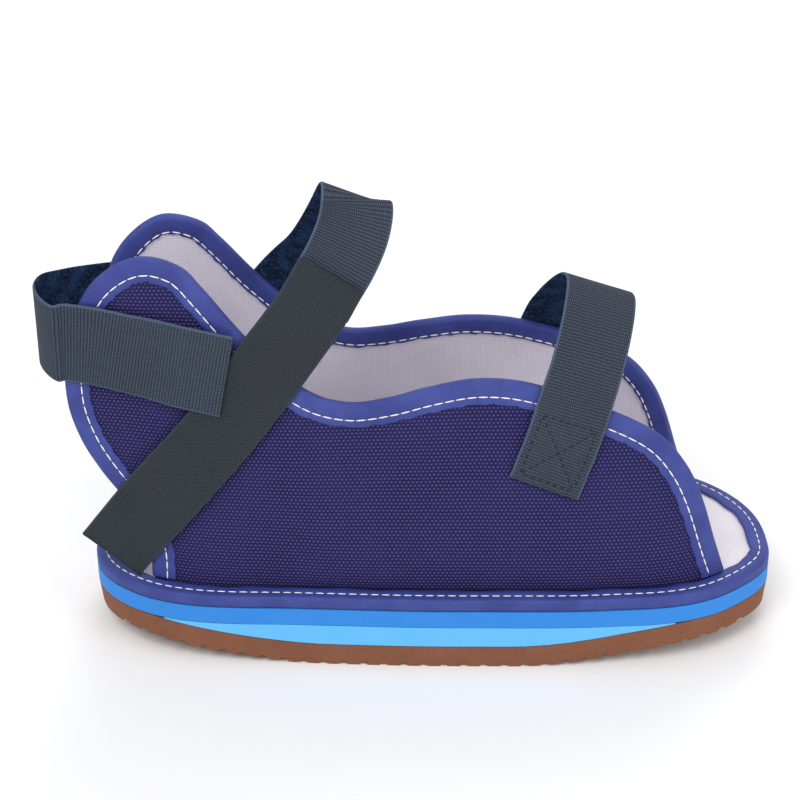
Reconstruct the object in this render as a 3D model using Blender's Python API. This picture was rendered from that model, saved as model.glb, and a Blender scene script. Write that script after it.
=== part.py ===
"""Post operative shoe with a rocker sole, two cloth quarters and three webbing straps.

Metres, +Z up, +X towards the toe, -Y the wearer's right. The origin is on the floor under the
middle of the sole. Heel and toe are open: the upper is two separate quarters sewn along the
insole, each bound with tape, and three straps that join them behind, above and in front.
"""
import math

import bmesh
import bpy
import numpy as np
from mathutils import Vector

# Sole
SOLE_LENGTH = 0.290
BALL_WIDTH = 0.110
TOE_SWING = 0.010
EDGE_BLUNTNESS = 0.75
OUTSOLE_THICK = 0.0108
OUTSOLE_DRAFT = 0.0012
WEDGE_THICK = 0.0094
WEDGE_TIP_THICK = 0.0005
MIDSOLE_THICK = 0.0077
INSOLE_THICK = 0.0038
ROCKER_RISE = 0.0100
ROCKER_FLAT = 0.038
ROCKER_REACH = 0.125
ROCKER_CENTRE = -0.006
RIB_PITCH = 0.0085
RIB_LAND = 0.0048
RIB_DEPTH = 0.0012

# Binding tape
TAPE_THICK = 0.0008
SOLE_TAPE_WIDTH = 0.0085
QUARTER_TAPE_WIDTH = 0.0092
TAPE_ROUND = 0.0014

# Quarters
QUARTER_WALL = 0.0020
LOBE_HEIGHT = 0.1454
WAIST_HEIGHT = 0.0842
BUMP_HEIGHT = 0.0919
WAIST_PLACE = -0.035
REAR_REACH = {"right": 0.1137, "left": 0.1040}
FRONT_REACH = {"right": 0.1576, "left": 0.1490}
FOOT_TURN_IN = 0.19
FOOT_EASE = 0.008
LEAN_HEIGHT = 0.100

# Straps
STRAP_WIDTH = 0.030
HEEL_STRAP_WIDTH = 0.035
WEBBING_THICK = 0.0016
TAB_THICK = 0.0018
PAD_THICK = 0.0010
ANKLE_LOOP_HEIGHT = 0.1640
FOREFOOT_LOOP_HEIGHT = 0.1210
HEEL_LOOP_HEIGHT = 0.1095
HEEL_PAD_LENGTH = 0.024
HEEL_PAD_WIDTH = 0.030
FOREFOOT_PAD_LENGTH = 0.024

# Clearance where two pieces meet, and the size of the facets
GAP = 0.0003
CLOTH_GAP = 0.0005
LOOP_STEPS = 80
SLAB_STEPS = 46
CLOTH_CELL = 0.010
EDGE_STEPS = 3
STRAP_STEPS = 3

HALF_LENGTH = SOLE_LENGTH / 2
HALF_WIDTH = BALL_WIDTH / 2
MIDSOLE_BOTTOM = OUTSOLE_THICK + WEDGE_THICK + 2 * GAP
MIDSOLE_TOP = MIDSOLE_BOTTOM + MIDSOLE_THICK
INSOLE_TOP = MIDSOLE_TOP + GAP + INSOLE_THICK
SOLE_TAPE_TOP = INSOLE_TOP + GAP + TAPE_THICK
QUARTER_FOOT = INSOLE_TOP + GAP
SIDES = {"right": -1, "left": 1}

# How full the sole is on each side: along is the share of half the length, towards the toe,
# and right and left are shares of half the ball width.
SOLE_FULLNESS = [
    # along, right, left
    (-1.0, 1.09, 1.09),
    (-0.8, 1.10, 1.07),
    (-0.4, 0.945, 0.95),
    (0.1, 0.955, 0.97),
    (0.5, 1.015, 1.20),
    (0.8, 1.045, 1.40),
    (1.0, 0.80, 1.42),
]

# Free edge of a quarter from the heel foot up over the lobe to the waist: reach is the share
# of the rear reach behind the waist, up the share of the lobe height.
LOBE_EDGE = [
    # reach, up
    (0.726, 0.0),
    (0.726, 0.106),
    (0.765, 0.202),
    (0.831, 0.278),
    (0.897, 0.350),
    (0.959, 0.443),
    (0.997, 0.560),
    (0.989, 0.704),
    (0.923, 0.869),
    (0.827, 0.960),
    (0.708, 1.0),
    (0.580, 0.972),
    (0.501, 0.909),
    (0.352, 0.769),
    (0.155, 0.626),
]

# Free edge from the waist over the instep down to the toe foot: reach is the share of the
# front reach ahead of the waist, up the share of the bump height.
INSTEP_EDGE = [
    # reach, up
    (0.108, 0.929),
    (0.216, 0.970),
    (0.346, 1.0),
    (0.489, 0.973),
    (0.678, 0.857),
    (0.806, 0.739),
    (0.879, 0.592),
    (0.923, 0.429),
    (0.962, 0.211),
    (1.0, 0.0),
]

# Where each quarter stands at the lean height: along is the share of half the sole's length,
# right and left the shares of half the ball width.
LEAN_LINE = [
    # along, right, left
    (-1.04, 0.37, 0.25),
    (-0.88, 0.44, 0.37),
    (-0.74, 0.49, 0.46),
    (-0.42, 0.56, 0.56),
    (-0.23, 0.553, 0.553),
    (0.12, 0.467, 0.473),
    (0.42, 0.487, 0.49),
    (0.84, 0.42, 0.43),
]

# Centre lines of the straps, from one end to the other. along and across are shares of half the
# length and of half the ball width, up of the strap's loop height. tilt is the slope of the
# width in degrees, nose down. laid is 1 where the strap lies on a quarter, and over counts
# what lies under it there: 0 the canvas, 1 the edge tape or a pad, 2 the ankle strap's tab.
ANKLE_STRAP = [
    # along, across, up, tilt, laid, over
    (-0.593, 0.56, 0.429, 35, 1, 0),
    (-0.538, 0.55, 0.499, 35, 1, 0.6),
    (-0.483, 0.54, 0.570, 35, 1, 1),
    (-0.431, 0.600, 0.637, 33, 1, 1.2),
    (-0.366, 0.540, 0.710, 30, 0.2, 1),
    (-0.314, 0.409, 0.777, 28, 0, 1),
    (-0.276, 0.291, 0.844, 26, 0, 1),
    (-0.241, 0.155, 0.920, 24, 0, 1),
    (-0.214, 0.040, 0.985, 22, 0, 1),
    (-0.205, -0.045, 0.997, 22, 0, 1),
    (-0.203, -0.135, 0.973, 22, 0, 1),
    (-0.217, -0.255, 0.932, 24, 0, 1),
    (-0.248, -0.364, 0.880, 27, 0, 1),
    (-0.286, -0.436, 0.829, 30, 0, 1),
    (-0.321, -0.491, 0.777, 33, 0, 1),
]
ANKLE_TAB = [
    (-0.272, -0.452, 0.856, 30, 0, 1),
    (-0.323, -0.540, 0.786, 33, 0, 1),
    (-0.386, -0.590, 0.706, 35, 0.5, 1),
    (-0.466, -0.590, 0.606, 36, 1, 1),
    (-0.602, -0.590, 0.443, 36, 1, 1),
    (-0.786, -0.590, 0.240, 36, 1, 1),
    (-0.929, -0.560, 0.068, 36, 1, 1),
]
HEEL_STRAP = [
    (-0.567, -0.62, 0.901, 90, 1, 2),
    (-0.628, -0.62, 0.917, 90, 1, 2),
    (-0.697, -0.61, 0.935, 90, 1, 2),
    (-0.772, -0.56, 0.953, 90, 1, 1.2),
    (-0.855, -0.52, 0.974, 90, 1, 1),
    (-0.938, -0.47, 0.995, 90, 1, 1),
    (-1.010, -0.44, 1.004, 90, 1, 1),
    (-1.048, -0.440, 1.006, 90, 0, 1),
    (-1.088, -0.300, 1.006, 90, 0, 1),
    (-1.112, -0.090, 1.0, 90, 0, 1),
    (-1.103, 0.110, 0.99, 90, 0, 1),
    (-1.050, 0.240, 0.98, 90, 0, 1),
    (-0.986, 0.320, 0.979, 90, 0.6, 1.3),
    (-0.900, 0.38, 0.976, 90, 1, 1.4),
    (-0.786, 0.45, 0.967, 90, 1, 0.6),
    (-0.683, 0.50, 0.953, 90, 1, 0),
]
FOREFOOT_STRAP = [
    (0.315, -0.68, 0.399, 24, 1, 0),
    (0.341, -0.66, 0.483, 23, 1, 0.3),
    (0.366, -0.63, 0.565, 22, 1, 1),
    (0.393, -0.60, 0.664, 21, 1, 1),
    (0.414, -0.575, 0.747, 20, 0.5, 1),
    (0.438, -0.482, 0.834, 19, 0, 1),
    (0.460, -0.345, 0.917, 19, 0, 1),
    (0.476, -0.173, 0.979, 19, 0, 1),
    (0.480, -0.010, 1.0, 19, 0, 1),
    (0.466, 0.155, 0.974, 19, 0, 1),
    (0.434, 0.309, 0.904, 20, 0, 1),
    (0.403, 0.446, 0.822, 21, 0, 1),
    (0.376, 0.596, 0.722, 22, 0.6, 1),
    (0.352, 0.62, 0.640, 22, 1, 1),
    (0.317, 0.64, 0.532, 22, 1, 1),
    (0.279, 0.67, 0.417, 22, 1, 1),
]
HEEL_PAD_PLACE = (-0.825, 0.948)
FOREFOOT_PAD_PLACE = (0.315, 0.520)

FINISHES = {
    # colour, roughness
    "brown_rubber": ((0.23, 0.085, 0.05), 0.75),
    "light_foam": ((0.11, 0.48, 0.87), 0.60),
    "blue_foam": ((0.028, 0.23, 0.69), 0.60),
    "lining": ((0.80, 0.76, 0.80), 0.85),
    "binding_tape": ((0.05, 0.08, 0.30), 0.55),
    "canvas": ((0.03, 0.027, 0.10), 0.85),
    "loop_webbing": ((0.05, 0.06, 0.085), 0.80),
    "hook_tape": ((0.033, 0.04, 0.05), 0.75),
}


def clear_scene():
    for old in list(bpy.data.objects):
        bpy.data.objects.remove(old, do_unlink=True)


def finish(name):
    made = bpy.data.materials.get(name)
    if made is None:
        colour, roughness = FINISHES[name]
        made = bpy.data.materials.new(name)
        made.use_nodes = True
        shader = made.node_tree.nodes["Principled BSDF"]
        shader.inputs["Base Color"].default_value = (*colour, 1.0)
        shader.inputs["Roughness"].default_value = roughness
        shader.inputs["Metallic"].default_value = 0.0
    return made


def add_piece(name, bm, material):
    """Close a bmesh into one named object."""
    bmesh.ops.remove_doubles(bm, verts=bm.verts, dist=1e-6)
    bmesh.ops.recalc_face_normals(bm, faces=bm.faces)
    mesh = bpy.data.meshes.new(name)
    bm.to_mesh(mesh)
    bm.free()
    piece = bpy.data.objects.new(name, mesh)
    bpy.context.collection.objects.link(piece)
    mesh.materials.append(finish(material))
    mesh.shade_smooth()
    mesh.set_sharp_from_angle(angle=math.radians(35))
    return piece


def loft(name, sections, material, ring=False):
    """Extrude a closed section through all the others, then cap it or close it as a ring."""
    bm = bmesh.new()
    verts = [bm.verts.new(co) for co in sections[0]]
    edges = [bm.edges.new((a, b)) for a, b in zip(verts, verts[1:] + verts[:1])]
    first = edges
    for section in sections[1:]:
        out = bmesh.ops.extrude_edge_only(bm, edges=edges)["geom"]
        made = {v for v in out if isinstance(v, bmesh.types.BMVert)}
        edges = [e for e in out if isinstance(e, bmesh.types.BMEdge)]
        verts = [next(o for e in v.link_edges if (o := e.other_vert(v)) in made) for v in verts]
        for vert, co in zip(verts, section):
            vert.co = co
    if ring:
        bmesh.ops.bridge_loops(bm, edges=first + edges)
    else:
        bmesh.ops.contextual_create(bm, geom=first)
        bmesh.ops.contextual_create(bm, geom=edges)
    return add_piece(name, bm, material)


def read_smooth(rows, at, column=1):
    """Read a column of a table at a place between its rows, on one smooth curve."""
    places = [row[0] for row in rows]
    values = [row[column] for row in rows]
    at = min(max(at, places[0]), places[-1])
    k = min(max(int(np.searchsorted(places, at)) - 1, 0), len(rows) - 2)

    def slope(i):
        low, high = max(i - 1, 0), min(i + 1, len(rows) - 1)
        return (values[high] - values[low]) / (places[high] - places[low])

    step = places[k + 1] - places[k]
    t = (at - places[k]) / step
    return ((2 * t**3 - 3 * t**2 + 1) * values[k] + (t**3 - 2 * t**2 + t) * step * slope(k)
            + (3 * t**2 - 2 * t**3) * values[k + 1] + (t**3 - t**2) * step * slope(k + 1))


def smooth_path(rows, steps):
    """Pass one smooth curve through rows of numbers, with so many steps between two rows."""
    rows = np.array(rows, float)
    padded = np.vstack([2 * rows[0] - rows[1], rows, 2 * rows[-1] - rows[-2]])
    path = []
    for a, b, c, d in zip(padded, padded[1:], padded[2:], padded[3:]):
        for k in range(steps):
            t = k / steps
            path.append(0.5 * (2 * b + (c - a) * t + (2 * a - 5 * b + 4 * c - d) * t**2
                               + (3 * b - a - 3 * c + d) * t**3))
    path.append(rows[-1])
    return path


def sole_edge(angle, inset=0.0):
    """Plan point of the sole's edge, from the toe at 0 round the left side to the heel at pi."""
    def at(turn):
        along = math.cos(turn)
        column = 2 if math.sin(turn) >= 0 else 1
        half = abs(math.sin(turn)) ** EDGE_BLUNTNESS * read_smooth(SOLE_FULLNESS, along, column)
        across = math.copysign(half, math.sin(turn)) * HALF_WIDTH - TOE_SWING * max(along, 0.0) ** 2
        return Vector((along * HALF_LENGTH, across))

    here = at(angle)
    run = at(angle + 0.02) - at(angle - 0.02)
    outward = Vector((run.y, -run.x)).normalized()
    return here - outward * inset


def rocker(x):
    """Height of the sole's underside: flat in the middle, lifted at heel and toe."""
    t = (abs(x - ROCKER_CENTRE) - ROCKER_FLAT) / (ROCKER_REACH - ROCKER_FLAT)
    t = min(max(t, 0.0), 1.0)
    return ROCKER_RISE * t * t * (3 - 2 * t)


def outsole_top(x):
    return min(rocker(x) + OUTSOLE_THICK, MIDSOLE_BOTTOM - GAP)


def slab_stations(count=SLAB_STEPS, low=-1.0, high=1.0):
    """Shares of half the length, closer together towards heel and toe."""
    return [-math.cos(math.pi * k / count) for k in range(count + 1)
            if low < -math.cos(math.pi * k / count) < high] + [low, high]


def slab(name, stations, bottom, top, material, inset=0.0, draft=0.0):
    """A layer with the sole's outline between two heights that follow the length."""
    sections = []
    for along in sorted(stations):
        angle = math.acos(min(max(along, -1.0), 1.0))
        x = along * HALF_LENGTH
        corners = [(2 * math.pi - angle, top(x), inset), (angle, top(x), inset),
                   (angle, bottom(x), inset + draft), (2 * math.pi - angle, bottom(x), inset + draft)]
        sections.append([(*sole_edge(turn, off), z) for turn, z, off in corners])
    return loft(name, sections, material)


def outsole():
    """Brown rubber: a rippled underside of cross ribs with flat lands."""
    count = int(HALF_LENGTH / RIB_PITCH)
    slope = (RIB_PITCH - RIB_LAND) / 4
    grooves = {}
    for k in range(-count, count):
        middle = (k + 0.5) * RIB_PITCH
        for x, depth in ((middle - 2 * slope, 0.0), (middle - slope, 1.0),
                         (middle + slope, 1.0), (middle + 2 * slope, 0.0)):
            if abs(x) < HALF_LENGTH - RIB_PITCH:
                grooves[x] = depth
    places = sorted(grooves)
    depths = [grooves[x] for x in places]

    def bottom(x):
        return rocker(x) + RIB_DEPTH * float(np.interp(x, places, depths, 0.0, 0.0))

    ends = [s for s in slab_stations() if abs(s) * HALF_LENGTH > HALF_LENGTH - RIB_PITCH]
    slab("outsole", ends + [x / HALF_LENGTH for x in places], bottom, outsole_top,
         "brown_rubber", draft=OUTSOLE_DRAFT)


def midsole_wedge():
    """Light blue foam lens that fills the rocker, thinning to nothing at heel and toe."""
    reach = ROCKER_FLAT
    while rocker(ROCKER_CENTRE + reach) < WEDGE_THICK - WEDGE_TIP_THICK and reach < ROCKER_REACH:
        reach += 0.0005
    low = (ROCKER_CENTRE - reach) / HALF_LENGTH
    high = (ROCKER_CENTRE + reach) / HALF_LENGTH
    slab("midsole_wedge", slab_stations(SLAB_STEPS, low, high), lambda x: outsole_top(x) + GAP,
         lambda x: MIDSOLE_BOTTOM - GAP, "light_foam")


def midsole():
    """Blue foam slab under the whole foot."""
    slab("midsole", slab_stations(), lambda x: MIDSOLE_BOTTOM, lambda x: MIDSOLE_TOP, "blue_foam")


def insole():
    """Covered board that the quarters are sewn to."""
    slab("insole", slab_stations(), lambda x: MIDSOLE_TOP + GAP, lambda x: INSOLE_TOP, "lining",
         inset=TAPE_THICK + GAP)


def insole_binding():
    """Tape folded over the edge of the insole, all the way round."""
    low, high, soft = MIDSOLE_TOP + GAP, SOLE_TAPE_TOP, TAPE_ROUND
    profile = [(0.0, low), (0.0, high - soft), (0.3 * soft, high - 0.3 * soft), (soft, high),
               (SOLE_TAPE_WIDTH, high), (SOLE_TAPE_WIDTH, high - TAPE_THICK),
               (TAPE_THICK, high - TAPE_THICK), (TAPE_THICK, low)]
    turns = [2 * math.pi * k / LOOP_STEPS for k in range(LOOP_STEPS)]
    sections = [[(*sole_edge(turn, inset), z) for inset, z in profile] for turn in turns]
    loft("insole_binding", sections, "binding_tape", ring=True)


def tape_inner_line(side):
    """The inner edge of the insole's tape on one side, as x and distance from the middle."""
    turns = [2 * math.pi * k / LOOP_STEPS for k in range(LOOP_STEPS)]
    line = [sole_edge(turn, SOLE_TAPE_WIDTH + GAP) for turn in turns]
    line = sorted((p.x, p.y * SIDES[side]) for p in line if p.y * SIDES[side] > 0)
    return [p[0] for p in line], [p[1] for p in line]


class Quarter:
    """One side panel of the upper: a sheet that stands on the insole and leans inwards."""

    def __init__(self, side):
        self.side = side
        self.sign = SIDES[side]
        self.line = tape_inner_line(side)
        rear = [(WAIST_PLACE - reach * REAR_REACH[side], up * LOBE_HEIGHT) for reach, up in LOBE_EDGE]
        front = [(WAIST_PLACE + reach * FRONT_REACH[side], up * BUMP_HEIGHT)
                 for reach, up in INSTEP_EDGE]
        self.edge = [Vector(p) for p in smooth_path(rear + [(WAIST_PLACE, WAIST_HEIGHT)] + front,
                                                    EDGE_STEPS)]
        self.feet = (rear[0][0], front[-1][0])

    def foot_line(self, x):
        """Where the sheet meets the insole, carried on past its feet with an easing turn."""
        inside = min(max(x, self.feet[0]), self.feet[1])
        past = abs(x - inside)
        inner = inside + math.copysign(FOOT_EASE, -inside)
        start = float(np.interp(inside, *self.line))
        turn = (float(np.interp(inner, *self.line)) - start) / FOOT_EASE - FOOT_TURN_IN
        return start - FOOT_TURN_IN * past - turn * FOOT_EASE * (1 - math.exp(-past / FOOT_EASE))

    def point(self, x, up):
        """Outer face of the sheet at a place of its pattern."""
        column = 1 if self.side == "right" else 2
        lean = read_smooth(LEAN_LINE, x / HALF_LENGTH, column) * HALF_WIDTH
        t = up / LEAN_HEIGHT
        across = self.foot_line(x) + (lean - self.foot_line(x)) * (0.6 * t + 0.4 * t * t)
        return Vector((x, self.sign * across, QUARTER_FOOT + up))

    def outward(self, x, up):
        step = 0.002
        run = self.point(x + step, up) - self.point(x - step, up)
        rise = self.point(x, up + step) - self.point(x, up - step)
        return run.cross(rise).normalized() * -self.sign

    def above(self, x, up, height):
        """A point over the sheet's outer face, or inside it where the height is negative."""
        return self.point(x, up) + self.outward(x, up) * height


def quarter_panel(quarter):
    """Canvas and lining, sewn as one sheet."""
    bm = bmesh.new()
    bm.faces.new([bm.verts.new((p.x, 0.0, p.y)) for p in quarter.edge])
    low, high = min(p.x for p in quarter.edge), max(p.x for p in quarter.edge)
    cuts = [((x, 0, 0), (1, 0, 0)) for x in np.arange(low + CLOTH_CELL / 2, high, CLOTH_CELL)]
    cuts += [((0, 0, z), (0, 0, 1)) for z in np.arange(CLOTH_CELL, LOBE_HEIGHT, CLOTH_CELL)]
    for place, direction in cuts:
        bmesh.ops.bisect_plane(bm, geom=bm.verts[:] + bm.edges[:] + bm.faces[:], dist=1e-6,
                               plane_co=place, plane_no=direction)
    bmesh.ops.triangulate(bm, faces=bm.faces)
    outer = {v: (v.co.x, v.co.z) for v in bm.verts}
    inner = bmesh.ops.extrude_face_region(bm, geom=bm.faces[:], use_keep_orig=True)["geom"]
    for vert in [v for v in inner if isinstance(v, bmesh.types.BMVert)]:
        vert.co = quarter.above(vert.co.x, vert.co.z, -QUARTER_WALL)
    for vert, place in outer.items():
        vert.co = quarter.point(*place)
    add_piece("quarter_" + quarter.side, bm, "canvas")


def quarter_binding(quarter):
    """Tape folded over the free edge of a quarter, from its heel foot to its toe foot."""
    out, back, nose = CLOTH_GAP + TAPE_THICK, -QUARTER_WALL - CLOTH_GAP - TAPE_THICK, GAP + TAPE_THICK
    profile = [(-QUARTER_TAPE_WIDTH, out), (GAP, out), (nose, out - TAPE_THICK),
               (nose, back + TAPE_THICK), (GAP, back), (-QUARTER_TAPE_WIDTH, back),
               (-QUARTER_TAPE_WIDTH, back + TAPE_THICK), (GAP, back + TAPE_THICK),
               (GAP, out - TAPE_THICK), (-QUARTER_TAPE_WIDTH, out - TAPE_THICK)]
    stop = SOLE_TAPE_TOP + 2 * GAP - QUARTER_FOOT
    path = quarter.edge
    sections = []
    for k, here in enumerate(path):
        run = path[min(k + 1, len(path) - 1)] - path[max(k - 1, 0)]
        away = Vector((-run.y, run.x)).normalized()
        level = min(max((here.y - stop) / (2 * QUARTER_TAPE_WIDTH), 0.0), 1.0)
        away = Vector((away.x, away.y * level)).normalized()
        if here.y < stop:
            other = path[1] if k == 0 else path[-2]
            here = here + (other - here) * ((stop - here.y) / (other.y - here.y))
        sections.append([quarter.above(here.x + away.x * off, max(here.y + away.y * off, stop), height)
                         for off, height in profile])
    loft("quarter_binding_" + quarter.side, sections, "binding_tape")


def layer_height(over):
    """Height above the canvas where a strap's underside runs."""
    under = CLOTH_GAP + max(TAPE_THICK, PAD_THICK) + GAP
    layers = [CLOTH_GAP, under, under + TAB_THICK + GAP]
    return float(np.interp(over, [0, 1, 2], layers))


def strap(name, rows, quarters, loop_height, width, thick, material):
    """A ribbon through the rows, laid on the quarters where they say so."""
    path = smooth_path(rows, STRAP_STEPS)
    centres = [Vector((row[0] * HALF_LENGTH, row[1] * HALF_WIDTH, INSOLE_TOP + row[2] * loop_height))
               for row in path]
    ribbon = []
    for k, (centre, row) in enumerate(zip(centres, path)):
        run = (centres[min(k + 1, len(path) - 1)] - centres[max(k - 1, 0)]).normalized()
        tilt = math.radians(row[3])
        wide = Vector((math.cos(tilt), 0.0, -math.sin(tilt)))
        wide = (wide - run * wide.dot(run)).normalized()
        quarter = quarters["right" if centre.y < 0 else "left"]
        laid = min(max(row[4], 0.0), 1.0)
        line = []
        for share in (-0.5, 0.0, 0.5):
            free = centre + wide * (share * width)
            rest = quarter.above(free.x, free.z - QUARTER_FOOT, layer_height(row[5]) + thick / 2)
            line.append(free.lerp(rest, laid))
        ribbon.append(line)
    sections = []
    for k, line in enumerate(ribbon):
        ahead, behind = ribbon[min(k + 1, len(ribbon) - 1)], ribbon[max(k - 1, 0)]
        faces = []
        for j, place in enumerate(line):
            wide = line[min(j + 1, 2)] - line[max(j - 1, 0)]
            faces.append((ahead[j] - behind[j]).cross(wide).normalized() * (thick / 2))
        sections.append([p + n for p, n in zip(line, faces)]
                        + [p - n for p, n in reversed(list(zip(line, faces)))])
    loft(name, sections, material)


def strap_pad(name, quarter, place, loop_height, length, width, tilt):
    """Rectangle of hook tape sewn on a quarter under a strap."""
    middle = Vector((place[0] * HALF_LENGTH, place[1] * loop_height))
    run = Vector((math.cos(math.radians(tilt)), -math.sin(math.radians(tilt))))
    wide = Vector((-run.y, run.x))
    sections = []
    for share in (-0.5, -0.25, 0.0, 0.25, 0.5):
        line = [middle + run * (share * length) + wide * (part * width) for part in (-0.5, 0.0, 0.5)]
        sections.append([quarter.above(p.x, p.y, CLOTH_GAP + PAD_THICK) for p in line]
                        + [quarter.above(p.x, p.y, CLOTH_GAP) for p in reversed(line)])
    loft(name, sections, "hook_tape")


clear_scene()
outsole()
midsole_wedge()
midsole()
insole()
insole_binding()
QUARTERS = {side: Quarter(side) for side in SIDES}
for panel in QUARTERS.values():
    quarter_panel(panel)
    quarter_binding(panel)
strap("ankle_strap", ANKLE_STRAP, QUARTERS, ANKLE_LOOP_HEIGHT, STRAP_WIDTH, WEBBING_THICK,
      "loop_webbing")
strap("ankle_strap_tab", ANKLE_TAB, QUARTERS, ANKLE_LOOP_HEIGHT, STRAP_WIDTH, TAB_THICK, "hook_tape")
strap("heel_strap", HEEL_STRAP, QUARTERS, HEEL_LOOP_HEIGHT, HEEL_STRAP_WIDTH, WEBBING_THICK,
      "loop_webbing")
strap("forefoot_strap", FOREFOOT_STRAP, QUARTERS, FOREFOOT_LOOP_HEIGHT, STRAP_WIDTH, WEBBING_THICK,
      "loop_webbing")
strap_pad("heel_strap_pad", QUARTERS["right"], HEEL_PAD_PLACE, HEEL_LOOP_HEIGHT, HEEL_PAD_LENGTH,
          HEEL_PAD_WIDTH, 11)
strap_pad("forefoot_strap_pad", QUARTERS["left"], FOREFOOT_PAD_PLACE, FOREFOOT_LOOP_HEIGHT,
          STRAP_WIDTH, FOREFOOT_PAD_LENGTH, 22)
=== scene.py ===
import math

import bmesh
import bpy
import numpy as np
from mathutils import Euler, Matrix, Vector, noise


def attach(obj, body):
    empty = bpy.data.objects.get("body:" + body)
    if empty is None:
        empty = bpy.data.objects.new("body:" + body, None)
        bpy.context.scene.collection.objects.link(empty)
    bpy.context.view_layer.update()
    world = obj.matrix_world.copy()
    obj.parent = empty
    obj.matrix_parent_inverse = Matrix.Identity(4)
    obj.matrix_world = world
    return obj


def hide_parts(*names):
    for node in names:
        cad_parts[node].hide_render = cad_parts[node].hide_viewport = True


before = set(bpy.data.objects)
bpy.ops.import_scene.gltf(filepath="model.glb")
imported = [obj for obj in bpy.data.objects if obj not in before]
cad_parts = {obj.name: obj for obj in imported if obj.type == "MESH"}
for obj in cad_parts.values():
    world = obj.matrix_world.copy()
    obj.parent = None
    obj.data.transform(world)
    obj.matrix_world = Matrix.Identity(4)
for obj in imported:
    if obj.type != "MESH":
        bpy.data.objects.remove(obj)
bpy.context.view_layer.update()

# The view and the studio
# The shoe stands on a plain pale floor under large soft lights. The camera looks square at the
# wearer's right side from thirty degrees above, through a long lens.
VIEW_TARGET = Vector((-0.013, 0.0, 0.1009))
VIEW_DISTANCE = 1.0
VIEW_ELEVATION = 30.0
VIEW_ROLL = -0.6
VIEW_LENS = 107.0
SENSOR_WIDTH = 36.0

camera = bpy.data.objects.new("camera", bpy.data.cameras.new("camera"))
bpy.context.scene.collection.objects.link(camera)
camera.data.lens = VIEW_LENS
camera.data.sensor_width = SENSOR_WIDTH
rise = math.radians(VIEW_ELEVATION)
camera.location = VIEW_TARGET + VIEW_DISTANCE * Vector((0.0, -math.cos(rise), math.sin(rise)))
turned = Euler((math.radians(90.0 - VIEW_ELEVATION), 0.0, 0.0)).to_matrix()
camera.rotation_euler = (turned @ Matrix.Rotation(math.radians(VIEW_ROLL), 3, "Z")).to_euler()
bpy.context.scene.camera = camera
bpy.context.scene.view_settings.view_transform = "Standard"

SKY_STRENGTH = 0.62
LAMP_AIM = Vector((0.0, 0.0, 0.08))
LAMPS = {
    # name: place, size, watts
    "key": ((-0.5, -1.1, 1.5), 0.9, 16.0),
    "fill": ((1.1, -0.9, 0.9), 1.0, 6.0),
    "back": ((0.2, 1.2, 1.2), 0.9, 8.0),
}

world = bpy.data.worlds.new("studio")
world.use_nodes = True
world.node_tree.nodes["Background"].inputs["Color"].default_value = (1.0, 1.0, 1.0, 1.0)
world.node_tree.nodes["Background"].inputs["Strength"].default_value = SKY_STRENGTH
bpy.context.scene.world = world

for name, (place, size, power) in LAMPS.items():
    lamp = bpy.data.objects.new(name, bpy.data.lights.new(name, "AREA"))
    lamp.data.size = size
    lamp.data.energy = power
    lamp.location = place
    lamp.rotation_euler = (LAMP_AIM - lamp.location).to_track_quat("-Z", "Y").to_euler()
    bpy.context.scene.collection.objects.link(lamp)


def tint(red, green, blue):
    """A colour as it looks on a screen, from 0 to 255, as the shader's own numbers."""
    parts = [c / 255.0 for c in (red, green, blue)]
    return (*(c / 12.92 if c <= 0.04045 else ((c + 0.055) / 1.055) ** 2.4 for c in parts), 1.0)


class Wire:
    """One output socket of a material's nodes. Sums on it add Math nodes."""

    def __init__(self, recipe, socket):
        self.recipe = recipe
        self.socket = socket

    def sum(self, operation, *others, first=None):
        values = [self, *others] if first is None else [first, self]
        return self.recipe.node("Math", {"operation": operation}, dict(enumerate(values)))

    def __add__(self, other):
        return self.sum("ADD", other)

    def __sub__(self, other):
        return self.sum("SUBTRACT", other)

    def __mul__(self, other):
        return self.sum("MULTIPLY", other)

    def __truediv__(self, other):
        return self.sum("DIVIDE", other)

    def __rsub__(self, other):
        return self.sum("SUBTRACT", first=other)

    __radd__ = __add__
    __rmul__ = __mul__

    def sine(self):
        return self.sum("SINE")

    def size(self):
        return self.sum("ABSOLUTE")

    def whole(self):
        return self.sum("FLOOR")

    def part(self):
        return self.sum("FRACT")

    def step(self, low, high):
        """0 below low and 1 above high, or the other way round, with a soft slope between."""
        flip = low > high
        low, high = min(low, high), max(low, high)
        out = self.recipe.node("MapRange", {"interpolation_type": "SMOOTHSTEP"},
                               {"Value": self, "From Min": low, "From Max": high})
        return 1.0 - out if flip else out


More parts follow.
